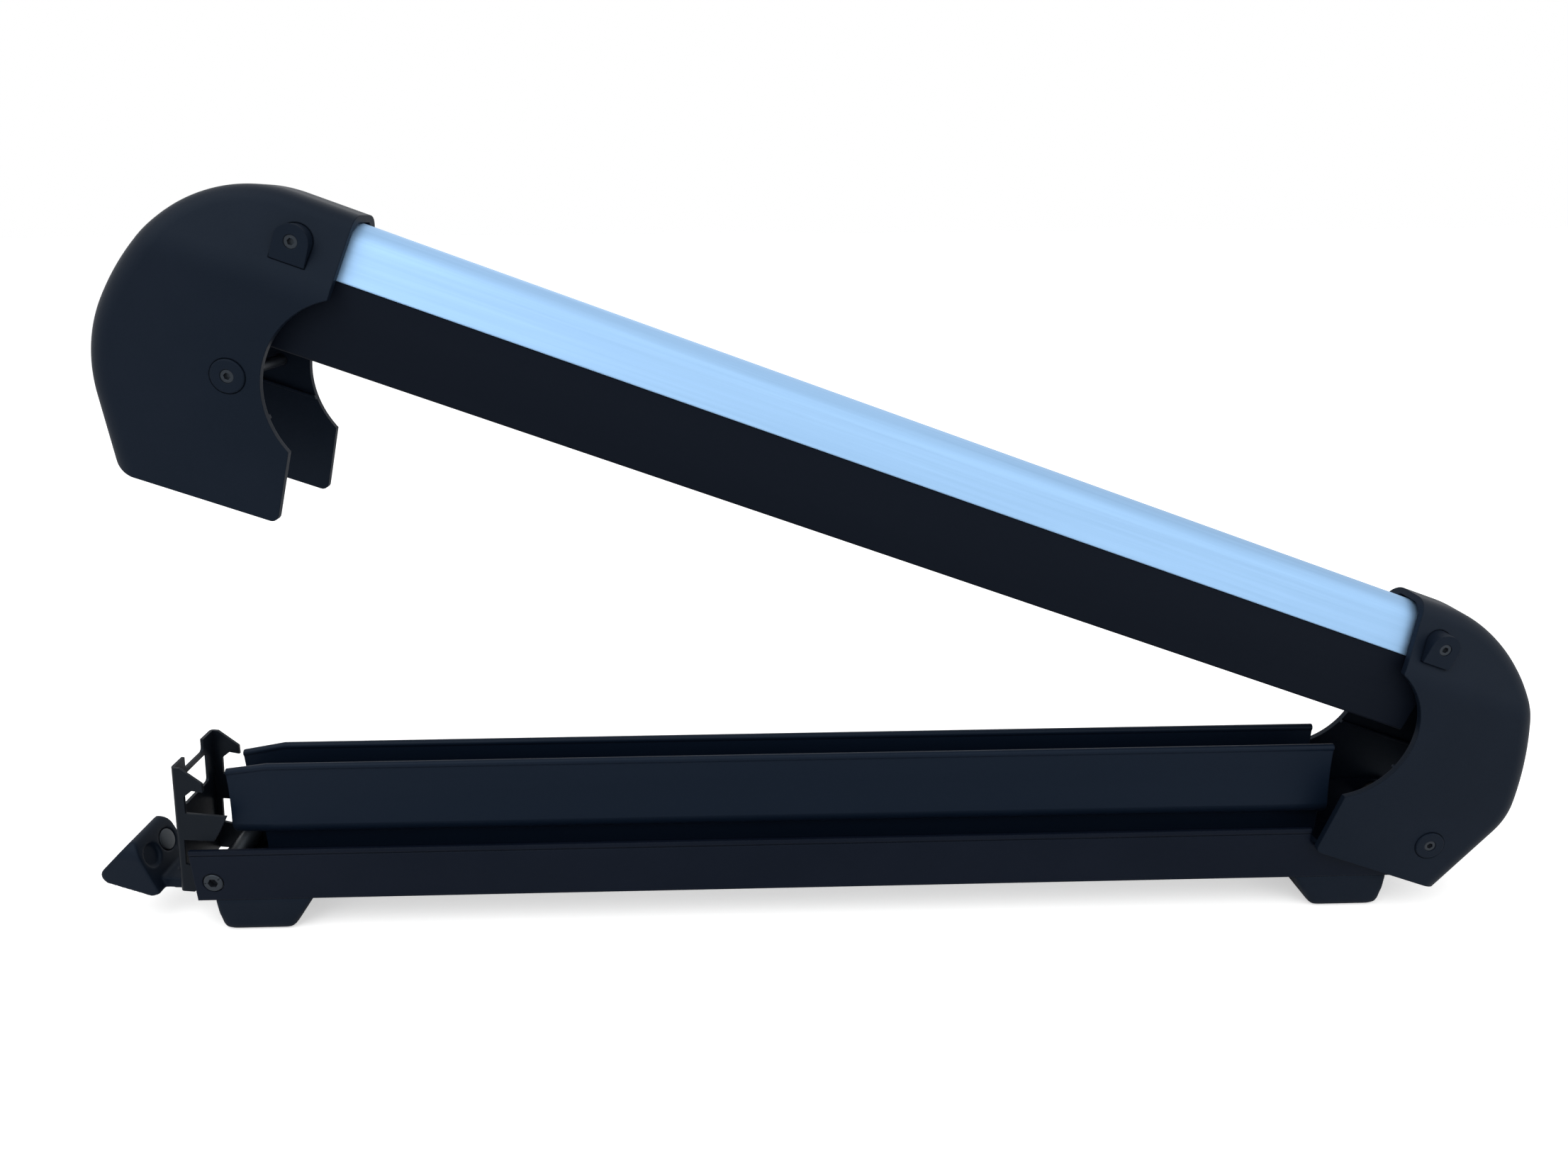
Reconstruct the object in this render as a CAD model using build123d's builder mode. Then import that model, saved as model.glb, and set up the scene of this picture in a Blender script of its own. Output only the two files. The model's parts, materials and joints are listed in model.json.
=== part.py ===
"""Roof carrier for skis and snowboards: one crossbar with a hinged clamping arm.

Millimetres. The origin is on the soles of the two feet, midway between their bolt holes.
+X runs from the latch end to the hinge end, +Y away from the maker's side, +Z up.
The arm stands open by rest_open_deg about the hinge pin, and the latch plate leans by
latch_rest_lean about its pivot.
"""
import os
from math import atan, cos, hypot, pi, radians, sin, tan

from build123d import *

# Feet and the bolts that hold them to a roof bar
foot_pitch = 546.0
foot_height = 18.0
foot_outer_reach = 17.5
foot_inner_reach = 30.2
foot_inner_slope = 12.4
foot_outer_slope = 1.0
foot_outer_round = 4.5
foot_inner_round = 7.0
foot_side_bevel = 1.2
bar_bolt_bore = 8.5
sleeve_wall = 2.0
foot_screw_pitch = 23.0
foot_screw_diameter = 3.8
foot_screw_head = 7.2
foot_screw_head_height = 2.2
foot_screw_length = 14.0

# Base rail, an open channel
rail_width = 49.0
rail_height = 27.5
rail_wall = 2.0
rail_latch_overhang = 25.1
rail_hinge_overhang = 11.0
rail_end_round = 9.0
rail_groove_depth = 0.5
rail_groove_height = 0.7
rail_bead_height = 2.3
ledge_height = 7.0
ledge_depth = 4.0
ledge_thickness = 1.6
ledge_setback = 30.0
relief_length = 30.0
relief_depth = 9.0
relief_round = 4.0

# Hinge and latch positions on the rail
hinge_overhang = 32.5
hinge_drop = 8.0
pivot_inset = 9.0
pivot_height = 9.9
rest_open_deg = 20.1
latch_rest_lean = 6.8

# Arm, measured from the hinge pin with the arm shut
latch_pin_inset = 4.6
latch_pin_rise = 33.1
arm_width = 37.0
profile_bottom = 83.1
profile_top = 106.1
profile_lean = 0.404
profile_wall = 2.0
profile_top_round = 13.0
profile_web_rise = 3.4
profile_lip_depth = 2.8
profile_lip_thickness = 1.3
profile_latch_end = 4.0
profile_hinge_end = 38.0
fin_bottom = 47.9
fin_setback = 0.5
fin_thickness = 3.0
fin_web_drop = 9.0

# Lower rubber profile
trough_top = 67.0
trough_width = 24.0
trough_belly = 30.0
trough_wall = 2.4
trough_floor_rise = 29.0
trough_stem = 16.0
trough_base_width = 42.0
trough_base_thickness = 2.4
trough_end_drop = 3.0
trough_end_pinch = 1.2
trough_end_length = 20.0
trough_hinge_gap = 46.5

# End caps
cap_flank_gap = 4.2
cap_flank_lean = 0.0387
cap_shoulder_gap = 1.0
cap_shoulder_round = 30.0
cap_wall = 3.0
cap_edge_round = 10.0
cap_inner_bevel = 4.0
cap_top_gap = 0.5
cap_bottom = -21.0
cap_form_bottom = -50.0
cap_run = 100.0
cap_rib_height = 1.5
cap_rib_thickness = 1.4
cap_lower_rib = 21.5
latch_back_bends = ((53.6, 58.7), (112.4, 20.9), (65.3, 35.6))
latch_mouth = (31.5, 29.5, 12.0, 31.0, 30.4)
latch_corner = (-45.0, -7.0, -39.5, -16.8, -27.0)
hinge_back_bends = ((65.2, 61.0), (159.6, 16.3), (33.9, 32.6))
hinge_top_end = -40.0
hinge_mouth = (-52.8, -53.3, -34.9, -57.5, -56.8)
hinge_corner = (25.5, -13.0, 22.6, -18.9, 16.5)
bite_low = 10.2
bite_middle = 41.0
bite_high = 75.5
knob_opening_width = 37.0
knob_opening_top = 24.0
hinge_gate_start = 9.0
hinge_gate_top = 12.0

# Fasteners
disc_diameter = 14.0
disc_thickness = 1.6
disc_recess = 0.9
head_diameter = 10.0
head_height = 2.2
head_recess_diameter = 12.5
head_recess = 1.2
hinge_pin_diameter = 7.0
latch_pin_diameter = 5.0
arch_bolt_diameter = 5.0
pin_end_setback = 2.4
screw_head_diameter = 5.4
screw_diameter = 4.0
screw_length = 15.0
screw_socket = 2.6
socket_depth = 1.6
arch_width = 14.0
arch_height = 15.5
latch_arch_proud = 0.4
hinge_arch_proud = 1.6
arch_head_depth = 2.2
bolt_pad_proud = 0.2
arch_bolt_rise = 92.5
latch_arch_offset = 12.0
hinge_arch_setback = 44.5
insert_length = 26.0

# Hinge bush and latch pivot
hinge_bush_diameter = 12.0
bush_reach = 0.7
pivot_bush_diameter = 10.0
pivot_washer_diameter = 14.0
pivot_bolt_diameter = 6.0
pivot_head_diameter = 9.2
pivot_head_height = 1.7
pivot_head_sink = 1.2
pivot_socket = 4.3
pivot_slit_width = 0.6
pivot_slit_depth = 0.5
pivot_slit_angles = (35, 180)

# Latch plate, measured from its pivot with the plate upright
plate_side_gap = 4.5
plate_thickness = 1.5
plate_back = 18.4
plate_top = 58.9
plate_bottom = 9.4
plate_strip = 5.4
plate_bend_round = 2.0
hook_tip = -4.4
lower_tab_tip = 6.1
plate_window_width = 24.0
plate_notch_width = 18.0
tongue_width = 16.0
tongue_reach = 50.0
tongue_drop = 13.6

# Release knob, in the same upright frame as the plate
knob_width = 33.0
knob_crown = 12.0
knob_crown_round = 9.0
knob_reach = 61.4
knob_length = 40.0
knob_tip_round = 5.0
plug_diameter = 11.6
plug_spacing = 14.4
plug_depth = 2.0
knob_neck_width = 20.0
knob_neck_height = 5.6
knob_neck_gap = 1.4
rivet_diameter = 3.4
rivet_length = 6.0
rivet_spots = (-26.5, -42.0)

# Clearances
running_clearance = 0.05
fit_clearance = 0.1
slide_clearance = 0.3

# Derived positions
foot_x = {"latch": -foot_pitch / 2, "hinge": foot_pitch / 2}
rail_bottom = foot_height
rail_top = rail_bottom + rail_height
rail_latch_end = foot_x["latch"] - rail_latch_overhang
hinge_x = foot_x["hinge"] + hinge_overhang
hinge_z = rail_top - hinge_drop
rail_hinge_end = hinge_x + rail_hinge_overhang
rail_length = rail_hinge_end - rail_latch_end
pivot_x = rail_latch_end + pivot_inset
pivot_z = rail_bottom + pivot_height
plate_width = rail_width - 2 * plate_side_gap
cap_top = profile_top + cap_top_gap + cap_wall
closed_pin_x = pivot_x + latch_pin_inset
arm_reach = hinge_x - closed_pin_x
trough_latch_x = closed_pin_x + latch_pin_diameter / 2 + 1.8
trough_hinge_x = hinge_x - trough_hinge_gap
ledge_latch_x = rail_latch_end + ledge_setback
ledge_hinge_x = trough_hinge_x
profile_latch_x = -arm_reach + profile_latch_end
profile_hinge_x = -profile_hinge_end
hinge_gate_half = rail_width / 2 + bush_reach
latch_arch_x = -arm_reach + latch_arch_offset
hinge_arch_x = -hinge_arch_setback


def side_plane(x, z, lean):
    """Plane seen from the maker's side, turned by lean degrees towards the hinge."""
    turn = radians(lean)
    return Plane(origin=(x, 0, z), x_dir=(cos(turn), 0, -sin(turn)), z_dir=(0, -1, 0))


def cross_plane(x, z, lean, along=0.0):
    """Plane across the same frame, along millimetres from its origin."""
    turn = radians(lean)
    forward = Vector(cos(turn), 0, -sin(turn))
    origin = Vector(x, 0, z) + forward * along
    return Plane(origin=origin, x_dir=(0, 1, 0), z_dir=forward)


def arm_side(y=0.0):
    """Side plane of the arm at a distance y from the middle plane."""
    return side_plane(hinge_x, hinge_z, -rest_arm_turn).offset(-y)


def arm_cross(along):
    return cross_plane(hinge_x, hinge_z, -rest_arm_turn, along)


def arm_half(rise, inset=0.0):
    """Half width of the extrusion at a height above the hinge pin, drawn in by inset."""
    return arm_width / 2 - (rise - profile_bottom) * profile_lean - inset * hypot(1, profile_lean)


def flank_half(rise, inset=0.0):
    """Half width of a cap's lower flank, which is nearly upright."""
    return rail_width / 2 + cap_flank_gap - rise * cap_flank_lean - inset


def shoulder_half(rise, inset=0.0):
    """Half width of a cap's shoulder, which runs along the side of the extrusion."""
    return arm_half(rise, inset - cap_wall - cap_shoulder_gap)


def cap_half(rise, inset=0.0):
    """Half width of a cap at a height above the hinge pin, drawn in by inset."""
    return min(flank_half(rise, inset), shoulder_half(rise, inset))


def latch_side(y=0.0):
    return side_plane(pivot_x, pivot_z, latch_rest_lean).offset(-y)


rest_arm_turn = -rest_open_deg
arch_screw_bore = min(screw_diameter, arch_bolt_diameter - 2)
pad_face = cap_half(arch_bolt_rise - head_recess_diameter / 2) + bolt_pad_proud
part_names = []


def save(builder, name):
    """Label a finished piece and write its file."""
    builder.part.label = name
    export_step(builder.part, f"parts/{name}.step")
    part_names.append(name)


os.makedirs("parts", exist_ok=True)

# Base rail
with BuildPart() as base_rail:
    with BuildSketch(Plane.YZ.offset(rail_latch_end)):
        with Locations((0, rail_bottom + rail_height / 2)):
            Rectangle(rail_width, rail_height)
        with Locations((0, rail_bottom + rail_wall + rail_height / 2)):
            Rectangle(rail_width - 2 * rail_wall, rail_height, mode=Mode.SUBTRACT)
        groove_z = rail_top - rail_bead_height - rail_groove_height / 2
        with Locations((-rail_width / 2, groove_z), (rail_width / 2, groove_z)):
            Rectangle(2 * rail_groove_depth, rail_groove_height, mode=Mode.SUBTRACT)
    extrude(amount=rail_length)
    with BuildSketch(Plane.YZ.offset(ledge_latch_x)):
        ledge_y = rail_width / 2 - rail_wall - ledge_depth / 2
        ledge_z = rail_bottom + rail_wall + ledge_height + ledge_thickness / 2
        with Locations((-ledge_y, ledge_z), (ledge_y, ledge_z)):
            Rectangle(ledge_depth, ledge_thickness)
    extrude(amount=ledge_hinge_x - ledge_latch_x)
    with BuildSketch(Plane.XZ):
        with Locations((rail_latch_end + rail_length / 2, rail_bottom + rail_height / 2)):
            Rectangle(rail_length, rail_height)
        fillet(vertices().group_by(Axis.X)[-1], rail_end_round)
    extrude(amount=rail_width, both=True, mode=Mode.INTERSECT)
    with BuildSketch(Plane.XZ):
        with Locations((pivot_x, pivot_z)):
            Circle(pivot_bush_diameter / 2 + fit_clearance)
        with Locations((hinge_x, hinge_z)):
            Circle(hinge_bush_diameter / 2 + fit_clearance)
    extrude(amount=rail_width, both=True, mode=Mode.SUBTRACT)
    with BuildSketch(Plane.XZ):
        relief_x = trough_hinge_x - rail_hinge_overhang + relief_length / 2
        with Locations((relief_x, rail_top)):
            Rectangle(relief_length, 2 * relief_depth)
        fillet(vertices().group_by(Axis.Y)[0], relief_round)
    extrude(amount=rail_width, both=True, mode=Mode.SUBTRACT)
    with BuildSketch(Plane.XY.offset(rail_bottom)):
        with Locations((foot_x["latch"], 0), (foot_x["hinge"], 0)):
            Circle(bar_bolt_bore / 2)
            with GridLocations(foot_screw_pitch, 0, 2, 1):
                Circle(foot_screw_diameter / 2 + fit_clearance)
    extrude(amount=rail_wall, mode=Mode.SUBTRACT)
save(base_rail, "base_rail")


# Feet
def make_foot(end):
    """Block under the rail, steep on its outer side and sloped on its inner side."""
    sign = 1 if end == "latch" else -1
    centre = foot_x[end]
    with BuildPart() as foot:
        with BuildSketch(Plane.XZ):
            with BuildLine():
                Polyline(
                    (centre - sign * foot_outer_reach, foot_height),
                    (centre - sign * (foot_outer_reach - foot_outer_slope), 0),
                    (centre + sign * (foot_inner_reach - foot_inner_slope), 0),
                    (centre + sign * foot_inner_reach, foot_height),
                    close=True,
                )
            make_face()
            outer, inner = vertices().group_by(Axis.Y)[0].sort_by(Axis.X)[:: sign]
            fillet(outer, foot_outer_round)
            fillet(inner, foot_inner_round)
        extrude(amount=rail_width / 2, both=True)
        rims = edges().filter_by(lambda e: abs(abs(e.center().Y) - rail_width / 2) < 0.01)
        chamfer(rims.filter_by(lambda e: e.center().Z < foot_height - 0.1), foot_side_bevel)
        with BuildSketch(Plane.XY):
            with Locations((centre, 0)):
                Circle(bar_bolt_bore / 2 + sleeve_wall + fit_clearance)
        extrude(amount=foot_height, mode=Mode.SUBTRACT)
        with BuildSketch(Plane.XY.offset(foot_height)):
            with Locations((centre, 0)):
                with GridLocations(foot_screw_pitch, 0, 2, 1):
                    Circle(foot_screw_diameter / 2 + fit_clearance)
        extrude(amount=-foot_screw_length, mode=Mode.SUBTRACT)
    return foot


latch_end_foot = make_foot("latch")
save(latch_end_foot, "latch_end_foot")
hinge_end_foot = make_foot("hinge")
save(hinge_end_foot, "hinge_end_foot")

with BuildPart() as foot_sleeves:
    with BuildSketch(Plane.XY):
        with Locations((foot_x["latch"], 0), (foot_x["hinge"], 0)):
            Circle(bar_bolt_bore / 2 + sleeve_wall)
            Circle(bar_bolt_bore / 2, mode=Mode.SUBTRACT)
    extrude(amount=foot_height)
save(foot_sleeves, "foot_sleeves")

with BuildPart() as foot_screws:
    with BuildSketch(Plane.XY.offset(rail_bottom + rail_wall)) as screw_spots:
        with Locations((foot_x["latch"], 0), (foot_x["hinge"], 0)):
            with GridLocations(foot_screw_pitch, 0, 2, 1):
                Circle(foot_screw_head / 2)
    extrude(amount=foot_screw_head_height)
    chamfer(edges().group_by(Axis.Z)[-1], foot_screw_head_height / 2.5)
    with BuildSketch(Plane.XY.offset(rail_bottom + rail_wall)):
        with Locations((foot_x["latch"], 0), (foot_x["hinge"], 0)):
            with GridLocations(foot_screw_pitch, 0, 2, 1):
                Circle(foot_screw_diameter / 2)
    extrude(amount=-foot_screw_length + 1)
save(foot_screws, "foot_screws")


# Lower rubber profile
def trough_section(drop, pinch):
    """Section of the trough walls, with the lips lowered by drop and drawn in by pinch."""
    top = rail_bottom + trough_top - drop
    lip = trough_width / 2 - pinch
    belly = trough_belly / 2 - pinch
    floor = rail_bottom + trough_floor_rise
    stem = trough_stem / 2
    with BuildSketch(mode=Mode.PRIVATE) as section:
        with BuildLine():
            Line((0, floor), (stem, floor))
            ThreePointArc((stem, floor), (belly - 1.8, floor + 2.2), (belly, floor + 7))
            ThreePointArc((belly, floor + 7), (lip + 0.6, floor + 21), (lip, top - 3))
            ThreePointArc((lip, top - 3), (lip + 0.5, top - 1.2), (lip - 1.2, top))
            ThreePointArc((lip - 1.2, top), (lip - 2.7, top - 1.0), (lip - trough_wall, top - 3))
            ThreePointArc(
                (lip - trough_wall, top - 3),
                (lip + 0.5 - trough_wall, floor + 21),
                (belly - trough_wall, floor + 8),
            )
            ThreePointArc(
                (belly - trough_wall, floor + 8),
                (belly - trough_wall - 2, floor + 4),
                (stem - 1, floor + trough_wall),
            )
            Line((stem - 1, floor + trough_wall), (0, floor + trough_wall))
            Line((0, floor + trough_wall), (0, floor))
        make_face()
        mirror(about=Plane.YZ)
    return section.sketch


with BuildPart() as lower_rubber_profile:
    for share in (1, 0):
        with BuildSketch(Plane.YZ.offset(trough_latch_x + trough_end_length * (1 - share))):
            add(trough_section(trough_end_drop * share, trough_end_pinch * share))
    loft(ruled=True)
    with BuildSketch(Plane.YZ.offset(trough_latch_x + trough_end_length)):
        add(trough_section(0, 0))
    extrude(amount=trough_hinge_x - trough_latch_x - trough_end_length)
    base_z = rail_bottom + rail_wall + ledge_height + ledge_thickness
    with BuildSketch(Plane.YZ.offset(ledge_latch_x)):
        stem_height = rail_bottom + trough_floor_rise - base_z
        with Locations((0, base_z + stem_height / 2)):
            Rectangle(trough_stem, stem_height)
        with Locations((0, base_z + trough_base_thickness / 2)):
            Rectangle(trough_base_width, trough_base_thickness)
        with Locations((0, base_z + stem_height / 2)):
            hollow = stem_height - 2 * trough_base_thickness
            Rectangle(trough_stem - 2 * trough_wall, hollow, mode=Mode.SUBTRACT)
    extrude(amount=ledge_hinge_x - ledge_latch_x)
save(lower_rubber_profile, "lower_rubber_profile")

# Hinge bush and the parts of the latch pivot
with BuildPart() as hinge_bush:
    with BuildSketch(Plane.XZ):
        with Locations((hinge_x, hinge_z)):
            Circle(hinge_bush_diameter / 2)
            Circle(hinge_pin_diameter / 2 + running_clearance, mode=Mode.SUBTRACT)
    extrude(amount=rail_width / 2 + bush_reach, both=True)
save(hinge_bush, "hinge_bush")

pivot_end = rail_width / 2 - pivot_head_sink
with BuildPart() as latch_pivot_bush:
    with BuildSketch(Plane.XZ):
        with Locations((pivot_x, pivot_z)):
            Circle(pivot_bush_diameter / 2)
            Circle(pivot_bolt_diameter / 2 + fit_clearance, mode=Mode.SUBTRACT)
    extrude(amount=pivot_end, both=True)
save(latch_pivot_bush, "latch_pivot_bush")

with BuildPart() as latch_pivot_bolt:
    with BuildSketch(Plane.XZ.offset(pivot_end)):
        with Locations((pivot_x, pivot_z)):
            Circle(pivot_head_diameter / 2)
    extrude(amount=pivot_head_height)
    chamfer(edges().group_by(Axis.Y)[0], 0.4)
    with BuildSketch(Plane.XZ.offset(pivot_end + pivot_head_height)):
        with Locations((pivot_x, pivot_z)):
            for angle in pivot_slit_angles:
                with PolarLocations(pivot_head_diameter / 2 - 0.5, 1, start_angle=angle):
                    Rectangle(1.8, pivot_slit_width)
    extrude(amount=-pivot_slit_depth, mode=Mode.SUBTRACT)
    with BuildSketch(Plane.XZ.offset(pivot_end)):
        with Locations((pivot_x, pivot_z)):
            Circle(pivot_bolt_diameter / 2)
    extrude(amount=-2 * pivot_end - pivot_head_height + 0.4)
    with BuildSketch(Plane.XZ.offset(pivot_end + pivot_head_height)):
        with Locations((pivot_x, pivot_z)):
            RegularPolygon(pivot_socket / 2, 6, major_radius=False)
    extrude(amount=-2 * socket_depth, mode=Mode.SUBTRACT)
save(latch_pivot_bolt, "latch_pivot_bolt")

with BuildPart() as latch_pivot_nut:
    with BuildSketch(Plane.XZ.offset(-pivot_end)):
        with Locations((pivot_x, pivot_z)):
            Circle(pivot_head_diameter / 2)
            Circle(pivot_bolt_diameter / 2 + fit_clearance, mode=Mode.SUBTRACT)
    extrude(amount=-pivot_head_height)
    chamfer(edges().filter_by(GeomType.CIRCLE).sort_by(SortBy.RADIUS)[-2:].group_by(Axis.Y)[-1], 0.4)
save(latch_pivot_nut, "latch_pivot_nut")


with BuildPart() as latch_pivot_washers:
    for side in (1, -1):
        with BuildSketch(Plane.XZ.offset(side * (rail_width / 2 - rail_wall))):
            with Locations((pivot_x, pivot_z)):
                Circle(pivot_washer_diameter / 2)
                Circle(pivot_bush_diameter / 2 + fit_clearance, mode=Mode.SUBTRACT)
        washer = rail_width / 2 - rail_wall - plate_width / 2 - fit_clearance
        extrude(amount=-side * washer)
save(latch_pivot_washers, "latch_pivot_washers")


# Arm extrusion and its rubber
def profile_form(inset, low):
    """Section of the extrusion's leaning sides and round top, drawn in by inset, down to low."""
    high = profile_top - inset
    widest_round = 0.98 * arm_half(high, inset) * tan((pi / 2 + atan(profile_lean)) / 2)
    with BuildSketch(mode=Mode.PRIVATE) as form:
        with BuildLine():
            Polyline(
                (-arm_half(low, inset), low),
                (arm_half(low, inset), low),
                (arm_half(high, inset), high),
                (-arm_half(high, inset), high),
                close=True,
            )
        make_face()
        fillet(form.vertices().group_by(Axis.Y)[-1], min(profile_top_round - inset, widest_round))
    return form.sketch


def profile_chamber(shrink):
    """Hollow of the extrusion above its web, made smaller by shrink on every side."""
    return profile_form(profile_wall + shrink, profile_bottom + profile_web_rise + profile_wall + shrink)


with BuildPart() as arm_profile:
    with BuildSketch(arm_cross(profile_latch_x)):
        add(profile_form(0, profile_bottom))
        add(profile_chamber(0), mode=Mode.SUBTRACT)
        slot_height = profile_web_rise - profile_lip_thickness
        slot_half = arm_half(profile_bottom + profile_web_rise, profile_wall)
        with Locations((0, profile_bottom + profile_lip_thickness + slot_height / 2)):
            Rectangle(2 * slot_half, slot_height, mode=Mode.SUBTRACT)
        mouth = 2 * slot_half - 2 * profile_lip_depth
        with Locations((0, profile_bottom + profile_lip_thickness / 2)):
            Rectangle(mouth, profile_lip_thickness + 0.01, mode=Mode.SUBTRACT)
    extrude(amount=profile_hinge_x - profile_latch_x)
    with BuildSketch(arm_side()):
        with Locations((latch_arch_x, arch_bolt_rise), (hinge_arch_x, arch_bolt_rise)):
            Circle(arch_bolt_diameter / 2 + fit_clearance)
    extrude(amount=arm_width, both=True, mode=Mode.SUBTRACT)
save(arm_profile, "arm_profile")

with BuildPart() as arm_rubber_profile:
    with BuildSketch(arm_cross(profile_latch_x)):
        seat_top = profile_bottom + profile_web_rise - slide_clearance
        seat_low = profile_bottom + profile_lip_thickness + slide_clearance
        neck_half = mouth / 2 - slide_clearance
        fin_top = profile_bottom - slide_clearance
        with Locations((0, (seat_top + seat_low) / 2)):
            Rectangle(2 * (slot_half - slide_clearance), seat_top - seat_low)
        with Locations((0, (seat_low + fin_top) / 2)):
            Rectangle(2 * neck_half, seat_low - fin_top)
        fin_outer = arm_width - 2 * fin_setback
        with Locations((0, (fin_top + fin_bottom) / 2)):
            Rectangle(fin_outer, fin_top - fin_bottom)
        fillet(vertices().group_by(Axis.Y)[0], fin_thickness / 2 - 0.1)
        core_top = fin_top - fin_web_drop
        with Locations((0, (core_top + fin_bottom) / 2)):
            core = Rectangle(
                fin_outer - 2 * fin_thickness, core_top - fin_bottom, mode=Mode.SUBTRACT
            )
        with Locations((0, core_top + fin_thickness + (fin_web_drop - 2 * fin_thickness) / 2)):
            Rectangle(
                fin_outer - 2 * fin_thickness, fin_web_drop - 2 * fin_thickness, mode=Mode.SUBTRACT
            )
    extrude(amount=profile_hinge_x - profile_latch_x)
save(arm_rubber_profile, "arm_rubber_profile")


def make_insert(start, bolt_along):
    """Plastic block that stiffens the extrusion where the cap's bolt crosses it."""
    with BuildPart() as insert:
        with BuildSketch(arm_cross(start)):
            add(profile_chamber(slide_clearance))
        extrude(amount=insert_length)
        with BuildSketch(arm_side()):
            with Locations((bolt_along, arch_bolt_rise)):
                Circle(arch_bolt_diameter / 2 + fit_clearance)
        extrude(amount=arm_width, both=True, mode=Mode.SUBTRACT)
    return insert


latch_end_insert = make_insert(profile_latch_x, latch_arch_x)
save(latch_end_insert, "latch_end_insert")
hinge_end_insert = make_insert(profile_hinge_x - insert_length, hinge_arch_x)
save(hinge_end_insert, "hinge_end_insert")


# End caps
def cap_form(start, side, bends, far, inset):
    """Side form of a cap drawn in by inset, running on past its mouth and its bottom edge."""
    along, rise = start
    turned = 0.0
    corners = [(along, rise - inset)]
    for radius, turn in bends:
        centre = (along - side * radius * sin(radians(turned)), rise - radius * cos(radians(turned)))
        for angle in (radians(turned + turn / 2), radians(turned + turn)):
            reach = radius - inset
            corners.append((centre[0] + side * reach * sin(angle), centre[1] + reach * cos(angle)))
        turned += turn
        along = centre[0] + side * radius * sin(radians(turned))
        rise = centre[1] + radius * cos(radians(turned))
    run = corners[-1][1] - cap_form_bottom
    low = corners[-1][0] + side * run * cos(radians(turned)) / sin(radians(turned))
    with BuildSketch(mode=Mode.PRIVATE) as form:
        with BuildLine():
            Line((far, corners[0][1]), corners[0])
            for spot in range(0, len(corners) - 1, 2):
                ThreePointArc(corners[spot], corners[spot + 1], corners[spot + 2])
            Polyline(
                corners[-1], (low, cap_form_bottom), (far, cap_form_bottom), (far, corners[0][1])
            )
        make_face()
    return form.sketch


def latch_form(inset):
    """Side form of the latch cap."""
    start = (-arm_reach + profile_latch_end, cap_top)
    return cap_form(start, -1, latch_back_bends, -arm_reach + cap_run, inset)


def hinge_form(inset):
    """Side form of the hinge cap."""
    return cap_form((hinge_top_end, cap_top), 1, hinge_back_bends, -cap_run, inset)


def mouth_trim(pin, side, mouth, corner):
    """Everything in front of a cap's mouth, its round bite and its bottom edge."""
    low, bite_start, bite_depth, bite_end, high = [pin + value for value in mouth]
    front = pin + side * 2 * cap_run
    back = pin - side * 2 * cap_run
    floor = 2 * cap_form_bottom
    ceiling = cap_top + cap_wall
    with BuildSketch(mode=Mode.PRIVATE) as trim:
        with BuildLine():
            Polyline((back, floor), (back, corner[1]), (pin + corner[0], corner[1]))
            ThreePointArc(
                (pin + corner[0], corner[1]),
                (pin + corner[2], corner[3]),
                (pin + corner[4], cap_bottom),
            )
            Polyline((pin + corner[4], cap_bottom), (low, cap_bottom), (bite_start, bite_low))
            ThreePointArc((bite_start, bite_low), (bite_depth, bite_middle), (bite_end, bite_high))
            Polyline(
                (bite_end, bite_high), (high, ceiling), (front, ceiling), (front, floor), (back, floor)
            )
        make_face()
        fillet(trim.vertices().sort_by_distance((low, cap_bottom))[0], cap_wall)
    return trim.sketch


def flank_section(inset):
    """Section of a cap: upright flanks below, and shoulders that lean in along the extrusion."""
    low = 2 * cap_form_bottom
    high = cap_top + cap_wall
    spare = shoulder_half(0, inset) - flank_half(0, inset)
    crease = spare / (profile_lean - cap_flank_lean)
    with BuildSketch(mode=Mode.PRIVATE) as section:
        with BuildLine():
            Polyline(
                (-flank_half(low, inset), low),
                (flank_half(low, inset), low),
                (flank_half(crease, inset), crease),
                (shoulder_half(high, inset), high),
                (-shoulder_half(high, inset), high),
                (-flank_half(crease, inset), crease),
                close=True,
            )
        make_face()
        fillet(section.vertices().group_by(Axis.Y)[1], cap_shoulder_round - inset)
    return section.sketch


def cap_block(form, start, side, inset, bevel):
    """Solid between two leaning flanks, its rims rounded or, when bevel is given, bevelled."""
    turn = radians(rest_open_deg)
    forward = Vector(cos(turn), 0, -sin(turn))
    upward = Vector(sin(turn), 0, cos(turn))
    with BuildPart() as block:
        with BuildSketch(arm_side()):
            add(form(inset))
        extrude(amount=rail_width, both=True)
        with BuildSketch(arm_cross(start)):
            add(flank_section(inset))
        extrude(amount=5 * cap_run, mode=Mode.INTERSECT)
        flanks = faces().filter_by(lambda f: abs(f.normal_at().Y) > 0.9)
        backs = faces().filter_by(
            lambda f: abs(f.normal_at().Y) < 0.3
            and f.normal_at().dot(upward) > -0.9
            and f.normal_at().dot(forward) * side < 0.9
        )
        back_edges = backs.edges()
        rims = flanks.edges().filter_by(lambda e: any(e.is_same(other) for other in back_edges))
        if bevel:
            chamfer(rims, bevel)
        else:
            fillet(rims, cap_edge_round)
    return block


def cap_core(start, inset):
    """Long solid with a cap's section, drawn in by inset."""
    with BuildPart() as core:
        with BuildSketch(arm_cross(start)):
            add(flank_section(inset))
        extrude(amount=2 * cap_run)
    return core


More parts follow.
